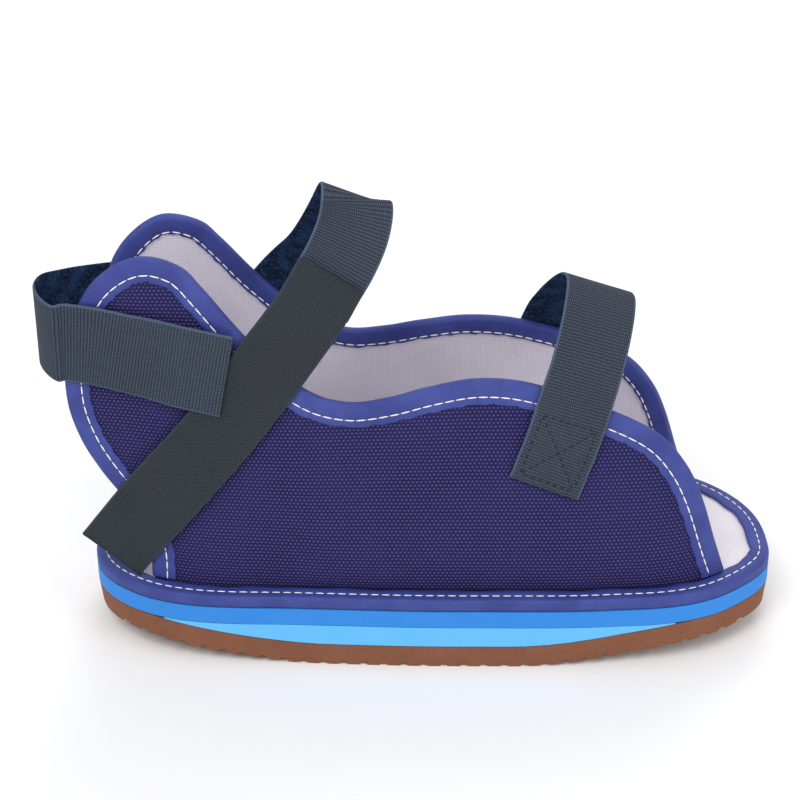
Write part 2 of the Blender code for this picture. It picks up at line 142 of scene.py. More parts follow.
class Recipe:
    """A material and the nodes that give it its colour, roughness and relief."""

    def __init__(self, name, **constants):
        self.material = bpy.data.materials.new(name)
        self.material.use_nodes = True
        self.tree = self.material.node_tree
        self.shader = self.tree.nodes["Principled BSDF"]
        for key, value in constants.items():
            self.shader.inputs[key.replace("_", " ")].default_value = value

    def node(self, kind, settings=None, values=None, out=0):
        made = self.tree.nodes.new("ShaderNode" + kind)
        for key, value in (settings or {}).items():
            setattr(made, key, value)
        for key, value in (values or {}).items():
            if isinstance(value, Wire):
                self.tree.links.new(value.socket, made.inputs[key])
            else:
                made.inputs[key].default_value = value
        return Wire(self, made.outputs[out])

    def feed(self, name, wire):
        self.tree.links.new(wire.socket, self.shader.inputs[name])

    def between(self, factor, first, second):
        """Mix two colours."""
        return self.node("Mix", {"data_type": "RGBA"}, {0: factor, 6: first, 7: second}, 2)

    def place(self):
        return self.node("TexCoord", out="Object")

    def cloth(self):
        """How far along the cloth, how far across it, and which face: 1 outside, 0 inside."""
        mark = self.node("Attribute", {"attribute_name": "cloth"}, out="Vector")
        split = [self.node("SeparateXYZ", None, {0: mark}, k) for k in range(3)]
        return mark, split

    def grain(self, place, scale, detail=2.0, rough=0.5, out=0):
        return self.node("TexNoise", None, {"Vector": place, "Scale": scale, "Detail": detail,
                                            "Roughness": rough}, out)

    def stretch(self, place, scale):
        return self.node("Mapping", None, {"Vector": place, "Scale": scale})

    def relief(self, height, distance, strength=1.0):
        bump = self.node("Bump", None, {"Height": height, "Distance": distance, "Strength": strength})
        self.feed("Normal", bump)


FLOOR_HALF = 4.0

floor_mesh = bmesh.new()
bmesh.ops.create_grid(floor_mesh, x_segments=1, y_segments=1, size=FLOOR_HALF)
floor = bpy.data.objects.new("floor", bpy.data.meshes.new("floor"))
floor_mesh.to_mesh(floor.data)
floor_mesh.free()
bpy.context.scene.collection.objects.link(floor)
paper = Recipe("studio_paper", Roughness=0.9, Specular_IOR_Level=0.0)
paper.feed("Base Color", paper.between(paper.grain(paper.place(), 3.0), tint(248, 248, 248),
                                       tint(250, 250, 250)))
floor.data.materials.append(paper.material)

# Outsole
# Brown microcellular rubber, cut to the last's outline, with cross ribs rolled into its underside.
# It curves up at heel and toe and is glued under the foam. The solid's own shape is kept.
SOLE_LENGTH = 0.290
BALL_WIDTH = 0.110
TOE_SWING = 0.010
EDGE_BLUNTNESS = 0.75
HALF_LENGTH = SOLE_LENGTH / 2
HALF_WIDTH = BALL_WIDTH / 2
SOLE_FULLNESS = [
    # along, right, left
    (-1.0, 1.09, 1.09),
    (-0.8, 1.10, 1.07),
    (-0.4, 0.945, 0.95),
    (0.1, 0.955, 0.97),
    (0.5, 1.015, 1.20),
    (0.8, 1.045, 1.40),
    (1.0, 0.80, 1.42),
]


def read_smooth(rows, at, column=1):
    """Read a column of a table at a place between its rows, on one smooth curve."""
    places = [row[0] for row in rows]
    values = [row[column] for row in rows]
    at = min(max(at, places[0]), places[-1])
    k = min(max(int(np.searchsorted(places, at)) - 1, 0), len(rows) - 2)

    def slope(i):
        low, high = max(i - 1, 0), min(i + 1, len(rows) - 1)
        return (values[high] - values[low]) / (places[high] - places[low])

    step = places[k + 1] - places[k]
    t = (at - places[k]) / step
    return ((2 * t**3 - 3 * t**2 + 1) * values[k] + (t**3 - 2 * t**2 + t) * step * slope(k)
            + (3 * t**2 - 2 * t**3) * values[k + 1] + (t**3 - t**2) * step * slope(k + 1))


def sole_edge(angle, inset=0.0):
    """Plan point of the sole's edge, from the toe at 0 round the left side to the heel at pi."""
    def at(turn):
        along = math.cos(turn)
        column = 2 if math.sin(turn) >= 0 else 1
        half = abs(math.sin(turn)) ** EDGE_BLUNTNESS * read_smooth(SOLE_FULLNESS, along, column)
        across = math.copysign(half, math.sin(turn)) * HALF_WIDTH - TOE_SWING * max(along, 0.0) ** 2
        return Vector((along * HALF_LENGTH, across))

    run = at(angle + 0.02) - at(angle - 0.02)
    return at(angle) - Vector((run.y, -run.x)).normalized() * inset


rubber = Recipe("brown_rubber_grain", Specular_IOR_Level=0.3)
spot = rubber.place()
crumb = rubber.grain(spot, 900.0, 3.0)
cloud = rubber.grain(spot, 60.0, 3.0)
rubber_brown = rubber.between(cloud, tint(120, 74, 52), tint(142, 92, 68))
rubber.feed("Base Color", rubber.between(crumb.step(0.58, 0.75) * 0.55, rubber_brown, tint(84, 50, 34)))
rubber.feed("Roughness", 0.72 + 0.2 * crumb)
rubber.relief(crumb + 0.6 * cloud, 0.0004, 0.6)
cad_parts["outsole"].data.materials.clear()
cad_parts["outsole"].data.materials.append(rubber.material)

# Foam layers
# Two closed cell foam layers: a mid-blue slab under the whole foot and a light blue lens that
# fills the rocker below it. Both are cut square through and sanded, so the cells show faintly.
FOAM_COLOURS = {"midsole": (tint(45, 128, 214), tint(56, 140, 222)),
                "midsole_wedge": (tint(92, 180, 238), tint(108, 192, 244))}

for node, (deep, pale) in FOAM_COLOURS.items():
    foam = Recipe(node + "_foam", Specular_IOR_Level=0.25)
    spot = foam.place()
    cells = foam.grain(spot, 1400.0, 2.0)
    patches = foam.grain(foam.stretch(spot, (1.0, 1.0, 3.0)), 45.0, 4.0)
    foam.feed("Base Color", foam.between(0.6 * patches + 0.4 * cells, deep, pale))
    foam.feed("Roughness", 0.55 + 0.25 * cells)
    foam.relief(cells + 0.5 * patches, 0.00025, 0.5)
    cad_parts[node].data.materials.clear()
    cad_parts[node].data.materials.append(foam.material)

# Insole
# A thin board covered with off-white ribbed cloth. The quarters and the tape are sewn to its
# edge. Its solid is kept, and the ribs run across it.
INSOLE_RIB_PITCH = 0.0011
INSOLE_ROW_PITCH = 0.0009

insole_cloth = Recipe("insole_cloth", Roughness=0.85, Specular_IOR_Level=0.2)
spot = insole_cloth.place()
split = [insole_cloth.node("SeparateXYZ", None, {0: spot}, k) for k in range(3)]
ribs = (split[0] * (math.tau / INSOLE_RIB_PITCH)).sine() * 0.5 + 0.5
rows = (split[1] * (math.tau / INSOLE_ROW_PITCH)).sine() * 0.5 + 0.5
soil = insole_cloth.grain(spot, 22.0, 4.0)
white = insole_cloth.between(soil.step(0.35, 0.75), tint(236, 231, 238), tint(226, 220, 228))
insole_cloth.feed("Base Color", insole_cloth.between(ribs * rows * 0.25, white, tint(205, 199, 208)))
insole_cloth.relief(ribs * 0.7 + rows * 0.3, 0.0003, 0.5)
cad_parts["insole"].data.materials.clear()
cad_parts["insole"].data.materials.append(insole_cloth.material)

# Insole binding
# Royal blue ribbed tape folded over the edge of the insole and sewn through with white thread in
# one long line of stitches.
GAP = 0.0003
INSOLE_TOP = 0.0329
TAPE_THICK = 0.0008
SOLE_TAPE_TOP = INSOLE_TOP + GAP + TAPE_THICK
SOLE_TAPE_BOTTOM = 0.0288
TAPE_RIB_PITCH = 0.00072
SOLE_TAPE_WIDTH = 0.0085
SOLE_TAPE_STEPS = 420
THREAD_RADIUS = 0.00033
STITCH_PITCH = 0.0046
SOLE_STITCH_INSET = 0.0040
SOLE_STITCH_FILL = 0.80
STITCH_LIFT = 0.00015

tape_cloth = Recipe("ribbed_tape", Specular_IOR_Level=0.35)
mark, (along, across, face) = tape_cloth.cloth()
wobble = tape_cloth.grain(mark, 160.0, 2.0)
ribs = ((along + wobble * 0.0003) * (math.tau / TAPE_RIB_PITCH)).sine() * 0.5 + 0.5
shade = tape_cloth.grain(mark, 55.0, 3.0)
tape_blue = tape_cloth.between(shade.step(0.3, 0.7), tint(52, 62, 136), tint(64, 78, 154))
tape_cloth.feed("Base Color", tape_cloth.between(ribs * 0.35, tape_blue, tint(36, 44, 108)))
tape_cloth.feed("Roughness", 0.48 + 0.2 * ribs)
tape_cloth.relief(ribs * 0.5 + shade * 0.6, 0.0003, 0.55)

white_thread = Recipe("white_thread", Roughness=0.6, Specular_IOR_Level=0.3)
twist = white_thread.grain(white_thread.place(), 2500.0, 1.0)
white_thread.feed("Base Color", white_thread.between(twist, tint(226, 224, 222), tint(246, 245, 243)))

navy_thread = Recipe("navy_thread", Roughness=0.6, Specular_IOR_Level=0.3)
twist = navy_thread.grain(navy_thread.place(), 2500.0, 1.0)
navy_thread.feed("Base Color", navy_thread.between(twist, tint(12, 18, 34), tint(24, 34, 56)))


def make_piece(name, bm, materials, slot, *nodes):
    """Turn a finished bmesh into a piece of the shoe that stands for those CAD nodes."""
    mesh = bpy.data.meshes.new(name)
    bm.to_mesh(mesh)
    bm.free()
    piece = bpy.data.objects.new(name, mesh)
    bpy.context.scene.collection.objects.link(piece)
    for material in materials:
        mesh.materials.append(material)
    mesh.shade_smooth()
    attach(piece, "root")
    if nodes:
        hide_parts(*nodes)
    return piece


def loft(sections, marks, ring=False):
    """Extrude a closed section through all the others. Each point carries its cloth mark."""
    bm = bmesh.new()
    cloth = bm.verts.layers.float_vector.new("cloth")
    verts = [bm.verts.new(co) for co in sections[0]]
    for vert, mark in zip(verts, marks[0]):
        vert[cloth] = mark
    edges = [bm.edges.new((a, b)) for a, b in zip(verts, verts[1:] + verts[:1])]
    first = edges
    for section, row in zip(sections[1:], marks[1:]):
        out = bmesh.ops.extrude_edge_only(bm, edges=edges)["geom"]
        made = {v for v in out if isinstance(v, bmesh.types.BMVert)}
        edges = [e for e in out if isinstance(e, bmesh.types.BMEdge)]
        verts = [next(o for e in v.link_edges if (o := e.other_vert(v)) in made) for v in verts]
        for vert, co, mark in zip(verts, section, row):
            vert.co = co
            vert[cloth] = mark
    if ring:
        bmesh.ops.bridge_loops(bm, edges=first + edges)
    else:
        bmesh.ops.contextual_create(bm, geom=first)
        bmesh.ops.contextual_create(bm, geom=edges)
    bmesh.ops.recalc_face_normals(bm, faces=bm.faces)
    return bm


def walk(points, pitch):
    """Places a pitch apart along a line of points, each with the direction there."""
    points = [Vector(p) for p in points]
    lengths = np.cumsum([0.0] + [(b - a).length for a, b in zip(points, points[1:])])
    found = []
    for at in np.arange(0.0, lengths[-1] - pitch, pitch):
        ends = []
        for place in (at, at + pitch):
            k = min(int(np.searchsorted(lengths, place, side="right")) - 1, len(points) - 2)
            share = (place - lengths[k]) / max(lengths[k + 1] - lengths[k], 1e-9)
            ends.append(points[k].lerp(points[k + 1], share))
        found.append((ends[0].lerp(ends[1], 0.5), (ends[1] - ends[0]).normalized()))
    return found


def sew(bm, points, pitch, filled, radius=THREAD_RADIUS):
    """Add a line of stitches to a bmesh: slim drops of thread, each filling part of the pitch."""
    for place, run in walk(points, pitch):
        turn = run.to_track_quat("Z", "Y").to_matrix().to_4x4()
        size = Matrix.Diagonal((radius, radius, pitch * filled / 2, 1.0))
        bmesh.ops.create_uvsphere(bm, u_segments=6, v_segments=5, radius=1.0,
                                  matrix=Matrix.Translation(place) @ turn @ size)


def sole_tape_section(turn):
    """The folded tape across the insole's edge, from its foot up, over and back underneath."""
    low, high, soft = SOLE_TAPE_BOTTOM, SOLE_TAPE_TOP + 0.0002, 0.0019
    slack = 0.00025 * math.sin(23 * turn) + 0.0002 * math.sin(41 * turn + 1.0)
    line = [(0.0006, low), (0.0002, low + 0.0003), (0.0, low + 0.0010), (0.0, high - soft)]
    line += [(soft * (1 - math.cos(a)), high - soft * (1 - math.sin(a)))
             for a in (0.3, 0.6, 0.9, 1.2, 1.45)]
    line += [(0.0030, high + 0.0001), (SOLE_STITCH_INSET - 0.0004, high + 0.00005),
             (SOLE_STITCH_INSET, high - 0.00025), (SOLE_STITCH_INSET + 0.0004, high + 0.00005),
             (0.0058, high + 0.00015), (SOLE_TAPE_WIDTH - 0.0008 + slack, high),
             (SOLE_TAPE_WIDTH - 0.0001 + slack, high - 0.0004), (SOLE_TAPE_WIDTH + slack, high - 0.0009),
             (TAPE_THICK, high - 0.0012), (TAPE_THICK, low)]
    return line


sections, marks = [], []
turns = [math.pi + math.tau * k / SOLE_TAPE_STEPS for k in range(SOLE_TAPE_STEPS)]
travel, before = 0.0, sole_edge(turns[0])
for turn in turns:
    here = sole_edge(turn)
    travel, before = travel + (here - before).length, here
    line = sole_tape_section(turn)
    sections.append([(*sole_edge(turn, inset), z) for inset, z in line])
    marks.append([(travel, inset + z, 1.0) for inset, z in line])
make_piece("insole_tape", loft(sections, marks, ring=True), [tape_cloth.material], "binding_tape",
           "insole_binding")

stitches = bmesh.new()
sew(stitches, [(*sole_edge(turn, SOLE_STITCH_INSET), SOLE_TAPE_TOP + STITCH_LIFT) for turn in turns],
    STITCH_PITCH, SOLE_STITCH_FILL)
make_piece("insole_tape_stitches", stitches, [white_thread.material], "binding_tape")

# Quarters
# Two side panels of coarse navy canvas lined with off-white ribbed cloth. Each is sewn into the
# insole's tape, bulges over that seam in one long fold, and leans inwards above it.
QUARTER_WALL = 0.0020
QUARTER_FOOT = INSOLE_TOP + GAP
LOBE_HEIGHT = 0.1454
WAIST_HEIGHT = 0.0842
BUMP_HEIGHT = 0.0919
WAIST_PLACE = -0.035
REAR_REACH = {"right": 0.1137, "left": 0.1040}
FRONT_REACH = {"right": 0.1576, "left": 0.1490}
FOOT_TURN_IN = 0.19
FOOT_EASE = 0.008
LEAN_HEIGHT = 0.100
SIDES = {"right": -1, "left": 1}
CLOTH_CELL = 0.003
EDGE_STEPS = 12
SOLE_LINE_STEPS = 240
CANVAS_LONG_PITCH = 0.00175
CANVAS_ROW_PITCH = 0.00155
LINING_RIB_PITCH = 0.0010
LINING_ROW_PITCH = 0.0013
LOBE_EDGE = [
    # reach, up
    (0.726, 0.0), (0.726, 0.106), (0.765, 0.202), (0.831, 0.278), (0.897, 0.350), (0.959, 0.443),
    (0.997, 0.560), (0.989, 0.704), (0.923, 0.869), (0.827, 0.960), (0.708, 1.0), (0.580, 0.972),
    (0.501, 0.909), (0.352, 0.769), (0.155, 0.626),
]
INSTEP_EDGE = [
    # reach, up
    (0.108, 0.929), (0.216, 0.970), (0.346, 1.0), (0.489, 0.973), (0.678, 0.857), (0.806, 0.739),
    (0.879, 0.592), (0.923, 0.429), (0.962, 0.211), (1.0, 0.0),
]
LEAN_LINE = [
    # along, right, left
    (-1.04, 0.37, 0.25), (-0.88, 0.44, 0.37), (-0.74, 0.49, 0.46), (-0.42, 0.56, 0.56),
    (-0.23, 0.553, 0.553), (0.12, 0.467, 0.473), (0.42, 0.487, 0.49), (0.84, 0.42, 0.43),
]


def smooth_path(rows, steps):
    """Pass one smooth curve through rows of numbers, with so many steps between two rows."""
    rows = np.array(rows, float)
    padded = np.vstack([2 * rows[0] - rows[1], rows, 2 * rows[-1] - rows[-2]])
    path = []
    for a, b, c, d in zip(padded, padded[1:], padded[2:], padded[3:]):
        for k in range(steps):
            t = k / steps
            path.append(0.5 * (2 * b + (c - a) * t + (2 * a - 5 * b + 4 * c - d) * t**2
                               + (3 * b - a - 3 * c + d) * t**3))
    path.append(rows[-1])
    return path


def hump(value, middle, spread):
    """A smooth bump of 1 at its middle."""
    return math.exp(-((value - middle) / spread) ** 2)


class Quarter:
    """One side panel: a sheet that stands on the insole and leans inwards."""

    def __init__(self, side):
        self.side = side
        self.sign = SIDES[side]
        turns = [math.tau * k / SOLE_LINE_STEPS for k in range(SOLE_LINE_STEPS)]
        line = [sole_edge(turn, SOLE_TAPE_WIDTH + GAP) for turn in turns]
        line = sorted((p.x, p.y * self.sign) for p in line if p.y * self.sign > 0)
        self.line = [p[0] for p in line], [p[1] for p in line]
        rear = [(WAIST_PLACE - reach * REAR_REACH[side], up * LOBE_HEIGHT) for reach, up in LOBE_EDGE]
        front = [(WAIST_PLACE + reach * FRONT_REACH[side], up * BUMP_HEIGHT)
                 for reach, up in INSTEP_EDGE]
        rows = rear + [(WAIST_PLACE, WAIST_HEIGHT)] + front
        self.edge = [Vector(p) for p in smooth_path(rows, EDGE_STEPS)]
        self.feet = (rear[0][0], front[-1][0])

    def foot_line(self, x):
        """Where the sheet meets the insole, carried on past its feet with an easing turn."""
        inside = min(max(x, self.feet[0]), self.feet[1])
        past = abs(x - inside)
        inner = inside + math.copysign(FOOT_EASE, -inside)
        start = float(np.interp(inside, *self.line))
        turn = (float(np.interp(inner, *self.line)) - start) / FOOT_EASE - FOOT_TURN_IN
        return start - FOOT_TURN_IN * past - turn * FOOT_EASE * (1 - math.exp(-past / FOOT_EASE))

    def sheet(self, x, up):
        """The plain sheet's outer face at a place of its pattern."""
        column = 1 if self.side == "right" else 2
        lean = read_smooth(LEAN_LINE, x / HALF_LENGTH, column) * HALF_WIDTH
        t = up / LEAN_HEIGHT
        across = self.foot_line(x) + (lean - self.foot_line(x)) * (0.6 * t + 0.4 * t * t)
        return Vector((x, self.sign * across, QUARTER_FOOT + up))

    def fold(self, x, up):
        """How far the canvas bulges over the seam along its foot, and how it ripples above."""
        reach = min(max((x + 0.095) / 0.05, 0.0), 1.0) * min(max((0.118 - x) / 0.03, 0.0), 1.0)
        crest = 0.013 + 0.004 * hump(x, 0.035, 0.045) + 0.001 * math.sin(70 * x)
        bulge = 0.0026 * reach * (up / crest) * math.exp(1 - up / crest) if up > 0 else 0.0
        ripple = 0.0007 * noise.noise(Vector((x * 28, up * 22, self.sign * 3.1)))
        return bulge + ripple * min(max(up / 0.02, 0.0), 1.0)

    def outward(self, x, up):
        """Away from the plain sheet's outer face."""
        step = 0.002
        run = self.sheet(x + step, up) - self.sheet(x - step, up)
        rise = self.sheet(x, up + step) - self.sheet(x, up - step)
        return run.cross(rise).normalized() * -self.sign

    def above(self, x, up, height, folded=1.0):
        """A point over the sheet's outer face, or inside it where the height is negative."""
        return self.sheet(x, up) + self.outward(x, up) * (height + folded * self.fold(x, up))


def canvas_weave(along, across, long_pitch, row_pitch):
    """Plump threads in staggered rows, from 0 in the gaps to 1 on the crowns."""
    row = across / row_pitch
    stagger = (row.whole() * 0.5).part()
    crown = ((along / long_pitch + stagger).part() * math.pi).sine()
    return crown * (row.part() * math.pi).sine()


canvas = Recipe("navy_canvas", Specular_IOR_Level=0.2)
mark, (along, across, face) = canvas.cloth()
drift = canvas.grain(mark, 90.0, 2.0)
threads = canvas_weave(along + drift * 0.0006, across + drift * 0.0004, CANVAS_LONG_PITCH,
                       CANVAS_ROW_PITCH)
slub = canvas.grain(canvas.stretch(mark, (1.0, 3.0, 1.0)), 420.0, 2.0)
fade = canvas.grain(mark, 30.0, 3.0)
# Painted highlight: the crowns of the threads get a paler navy, as if lit, over the darker ground
# colour.
crown_highlight = (threads * (0.55 + 0.9 * slub)).step(0.15, 0.95)
dull = canvas.between(fade.step(0.35, 0.7), tint(30, 26, 66), tint(36, 32, 76))
canvas.feed("Base Color", canvas.between(crown_highlight, dull, tint(72, 66, 132)))
canvas.feed("Roughness", 0.92 - 0.2 * crown_highlight)
canvas.relief(threads * (0.6 + 0.7 * slub), 0.0007, 0.9)

lining = Recipe("quarter_lining", Roughness=0.85, Specular_IOR_Level=0.2)
mark, (along, across, face) = lining.cloth()
ribs = (along * (math.tau / LINING_RIB_PITCH)).sine() * 0.5 + 0.5
rows = (across * (math.tau / LINING_ROW_PITCH)).sine() * 0.5 + 0.5
soil = lining.grain(mark, 26.0, 4.0)
white = lining.between(soil.step(0.35, 0.75), tint(228, 222, 232), tint(216, 209, 221))
lining.feed("Base Color", lining.between(ribs * rows * 0.4, white, tint(188, 181, 195)))
lining.relief(ribs * 0.6 + rows * 0.4, 0.0003, 0.5)


def quarter_panel(quarter):
    """Cut the panel from the edge line, rule it into small cells, then stand it in its place."""
    bm = bmesh.new()
    cloth = bm.verts.layers.float_vector.new("cloth")
    bm.faces.new([bm.verts.new((p.x, 0.0, p.y)) for p in quarter.edge])
    low, high = min(p.x for p in quarter.edge), max(p.x for p in quarter.edge)
    cuts = [((x, 0, 0), (1, 0, 0)) for x in np.arange(low + CLOTH_CELL / 2, high, CLOTH_CELL)]
    cuts += [((0, 0, z), (0, 0, 1)) for z in np.arange(CLOTH_CELL / 2, LOBE_HEIGHT, CLOTH_CELL)]
    for place, direction in cuts:
        bmesh.ops.bisect_plane(bm, geom=bm.verts[:] + bm.edges[:] + bm.faces[:], dist=1e-6,
                               plane_co=place, plane_no=direction)
    bmesh.ops.triangulate(bm, faces=[f for f in bm.faces if len(f.verts) > 4])
    places = {v: (v.co.x, v.co.z) for v in bm.verts}
    for vert, (x, up) in places.items():
        vert[cloth] = (x, up, 1.0)
    made = bmesh.ops.extrude_face_region(bm, geom=bm.faces[:], use_keep_orig=True)["geom"]
    for vert in [v for v in made if isinstance(v, bmesh.types.BMVert)]:
        x, up = vert.co.x, vert.co.z
        vert[cloth] = (x, up, 0.0)
        vert.co = quarter.above(x, up, -QUARTER_WALL)
    for vert, (x, up) in places.items():
        vert.co = quarter.above(x, up, 0.0)
    for f in bm.faces:
        f.material_index = 0 if sum(v[cloth].z for v in f.verts) / len(f.verts) > 0.75 else 1
    bmesh.ops.recalc_face_normals(bm, faces=bm.faces)
    return bm


quarters = {side: Quarter(side) for side in SIDES}
for side, quarter in quarters.items():
    make_piece("canvas_" + side, quarter_panel(quarter), [canvas.material, lining.material], "canvas",
               "quarter_" + side)

# Edge tape of the quarters
# The same ribbed tape folded over each panel's free edge, wider outside than inside, and held by
# one white row of stitches. It puckers at the tight waist curve.
TAPE_OUT_WIDTH = 0.0092
TAPE_IN_WIDTH = 0.0072
TAPE_STITCH = 0.0060
TAPE_REST = 0.0001
TAPE_STOP = SOLE_TAPE_TOP + 2 * GAP - QUARTER_FOOT
PUCKER_PLACE = -0.040
PUCKER_SPREAD = 0.012
PUCKER_CEILING = 0.11
OUTER_STITCH_FILL = 0.94
INNER_STITCH_FILL = 0.84


def tape_section(travel, pucker):
    """Offsets from the panel's edge and heights over its outer face, round the folded tape."""
    out, back = TAPE_REST, -QUARTER_WALL - TAPE_REST
    thick = TAPE_THICK
    wave = 0.00022 * math.sin(travel * 620) + 0.00018 * math.sin(travel * 1130 + 1.3)
    gather = pucker * (0.0008 * math.sin(travel * 1500) + 0.0005 * math.sin(travel * 2300 + 0.7))
    wide, narrow = TAPE_OUT_WIDTH + wave, TAPE_IN_WIDTH + wave
    lift = thick + 0.0002 + max(gather, -0.0004)
    line = [(-wide, out), (-wide - 0.0001, out + 0.5 * thick), (-wide + 0.0004, out + thick),
            (-wide + 0.0015, out + thick + 0.3 * gather), (-TAPE_STITCH - 0.0006, out + thick + 0.0001),
            (-TAPE_STITCH, out + thick - 0.0003), (-TAPE_STITCH + 0.0006, out + thick + 0.0001),
            (-0.0040, out + lift), (-0.0020, out + lift + 0.0001)]
    middle, radius = (out + back) / 2, (out - back) / 2 + thick + 0.0002
    line += [(0.0013 * math.cos(a) - 0.0001, middle + radius * math.sin(a))
             for a in (1.45, 1.1, 0.75, 0.35, 0.0, -0.35, -0.75, -1.1, -1.45)]
    line += [(-0.0020, back - lift), (-0.0035, back - lift),
             (-TAPE_STITCH + 0.0006, back - thick - 0.0001), (-TAPE_STITCH, back - thick + 0.0003),
             (-narrow + 0.0006, back - thick - 0.0001), (-narrow, back - thick), (-narrow, back)]
    line += [(0.0002, back), (0.0002, out)]
    return line


def along_edge(quarter):
    """Places on the panel's free edge, each with its way out of the panel and its travel."""
    found, travel = [], 0.0
    path = [p for p in quarter.edge if p.y > TAPE_STOP]
    path = [Vector((path[0].x, TAPE_STOP)), *path, Vector((path[-1].x, TAPE_STOP))]
    for k, here in enumerate(path):
        run = path[min(k + 1, len(path) - 1)] - path[max(k - 1, 0)]
        away = Vector((-run.y, run.x)).normalized()
        level = min(max((here.y - TAPE_STOP) / (2 * TAPE_OUT_WIDTH), 0.0), 1.0)
        away = Vector((away.x, away.y * level)).normalized()
        if found:
            travel += (here - found[-1][0]).length
        found.append((here, away, travel))
    return found


def edge_point(quarter, here, away, off, height):
    """A point off the panel's free edge, no lower than where the tape stops."""
    return quarter.above(here.x + away.x * off, max(here.y + away.y * off, TAPE_STOP), height)


for side, quarter in quarters.items():
    sections, marks, outside, inside = [], [], [], []
    for here, away, travel in along_edge(quarter):
        at_waist = hump(here.x, PUCKER_PLACE, PUCKER_SPREAD) if here.y < PUCKER_CEILING else 0.0
        line = tape_section(travel, at_waist)
        sections.append([edge_point(quarter, here, away, off, height) for off, height in line])
        marks.append([(travel, off - height, 1.0) for off, height in line])
        lift = TAPE_REST + TAPE_THICK
        outside.append(edge_point(quarter, here, away, -TAPE_STITCH, lift + 0.0001))
        inside.append(edge_point(quarter, here, away, -TAPE_STITCH, -QUARTER_WALL - lift - 0.0001))
    make_piece("edge_tape_" + side, loft(sections, marks), [tape_cloth.material], "binding_tape",
               "quarter_binding_" + side)
    stitches = bmesh.new()
    sew(stitches, outside, STITCH_PITCH, OUTER_STITCH_FILL)
    sew(stitches, inside, STITCH_PITCH, INNER_STITCH_FILL)
    make_piece("edge_tape_stitches_" + side, stitches, [white_thread.material], "binding_tape")

# Straps
# Slate webbing whose inner face is brushed loop. The ankle and forefoot straps stand up as open
# arches, the heel strap passes behind the heel, and each is sewn or pressed onto a quarter.
STRAP_WIDTH = 0.030
HEEL_STRAP_WIDTH = 0.035
WEBBING_THICK = 0.0014
TAB_THICK = 0.0018
ANKLE_LOOP_HEIGHT = 0.1640
FOREFOOT_LOOP_HEIGHT = 0.1210
HEEL_LOOP_HEIGHT = 0.1095
PAD_THICK = 0.0010
CLOTH_GAP = 0.0005
STRAP_STEPS = 12
SELVEDGE_WIDTH = 0.0012
SEAM_PLACE = 0.0045
SEAM_SPREAD = 0.0022
SEAM_HEIGHT = 0.0009
ANKLE_STRAP = [
    # along, across, up, tilt, laid, over
    (-0.593, 0.56, 0.429, 35, 1, 0), (-0.538, 0.55, 0.499, 35, 1, 0.6),
    (-0.483, 0.54, 0.570, 35, 1, 1), (-0.431, 0.600, 0.637, 33, 1, 1.2),
    (-0.366, 0.540, 0.710, 30, 0.2, 1), (-0.314, 0.409, 0.777, 28, 0, 1),
    (-0.276, 0.291, 0.844, 26, 0, 1), (-0.241, 0.155, 0.920, 24, 0, 1),
    (-0.214, 0.040, 0.985, 22, 0, 1), (-0.205, -0.045, 0.997, 22, 0, 1),
    (-0.203, -0.135, 0.973, 22, 0, 1), (-0.217, -0.255, 0.932, 24, 0, 1),
    (-0.248, -0.364, 0.880, 27, 0, 1), (-0.286, -0.436, 0.829, 30, 0, 1),
    (-0.321, -0.491, 0.777, 33, 0, 1),
]
ANKLE_TAB = [
    (-0.272, -0.452, 0.856, 30, 0, 1), (-0.323, -0.540, 0.786, 33, 0, 1),
    (-0.386, -0.590, 0.706, 35, 0.5, 1), (-0.466, -0.590, 0.606, 36, 1, 1),
    (-0.602, -0.590, 0.443, 36, 1, 1), (-0.786, -0.590, 0.240, 36, 1, 1),
    (-0.929, -0.560, 0.068, 36, 1, 1),
]
HEEL_STRAP = [
    (-0.567, -0.62, 0.901, 90, 1, 2), (-0.628, -0.62, 0.917, 90, 1, 2),
    (-0.697, -0.61, 0.935, 90, 1, 2), (-0.772, -0.56, 0.953, 90, 1, 1.2),
    (-0.855, -0.52, 0.974, 90, 1, 1), (-0.938, -0.47, 0.995, 90, 1, 1),
    (-1.010, -0.44, 1.004, 90, 1, 1), (-1.048, -0.440, 1.006, 90, 0, 1),
    (-1.088, -0.300, 1.006, 90, 0, 1), (-1.112, -0.090, 1.0, 90, 0, 1),
    (-1.103, 0.110, 0.99, 90, 0, 1), (-1.050, 0.240, 0.98, 90, 0, 1),
    (-0.986, 0.320, 0.979, 90, 0.6, 1.3), (-0.900, 0.38, 0.976, 90, 1, 1.4),
    (-0.786, 0.45, 0.967, 90, 1, 0.6), (-0.683, 0.50, 0.953, 90, 1, 0),
]
FOREFOOT_STRAP = [
    (0.315, -0.68, 0.399, 24, 1, 0), (0.341, -0.66, 0.483, 23, 1, 0.3),
    (0.366, -0.63, 0.565, 22, 1, 1), (0.393, -0.60, 0.664, 21, 1, 1),
    (0.414, -0.575, 0.747, 20, 0.5, 1), (0.438, -0.482, 0.834, 19, 0, 1),
    (0.460, -0.345, 0.917, 19, 0, 1), (0.476, -0.173, 0.979, 19, 0, 1),
    (0.480, -0.010, 1.0, 19, 0, 1), (0.466, 0.155, 0.974, 19, 0, 1),
    (0.434, 0.309, 0.904, 20, 0, 1), (0.403, 0.446, 0.822, 21, 0, 1),
    (0.376, 0.596, 0.722, 22, 0.6, 1), (0.352, 0.62, 0.640, 22, 1, 1),
    (0.317, 0.64, 0.532, 22, 1, 1), (0.279, 0.67, 0.417, 22, 1, 1),
]
ACROSS = (-0.5, -0.495, -0.48, -0.45, -0.3, -0.15, 0.0, 0.15, 0.3, 0.45, 0.48, 0.495, 0.5)


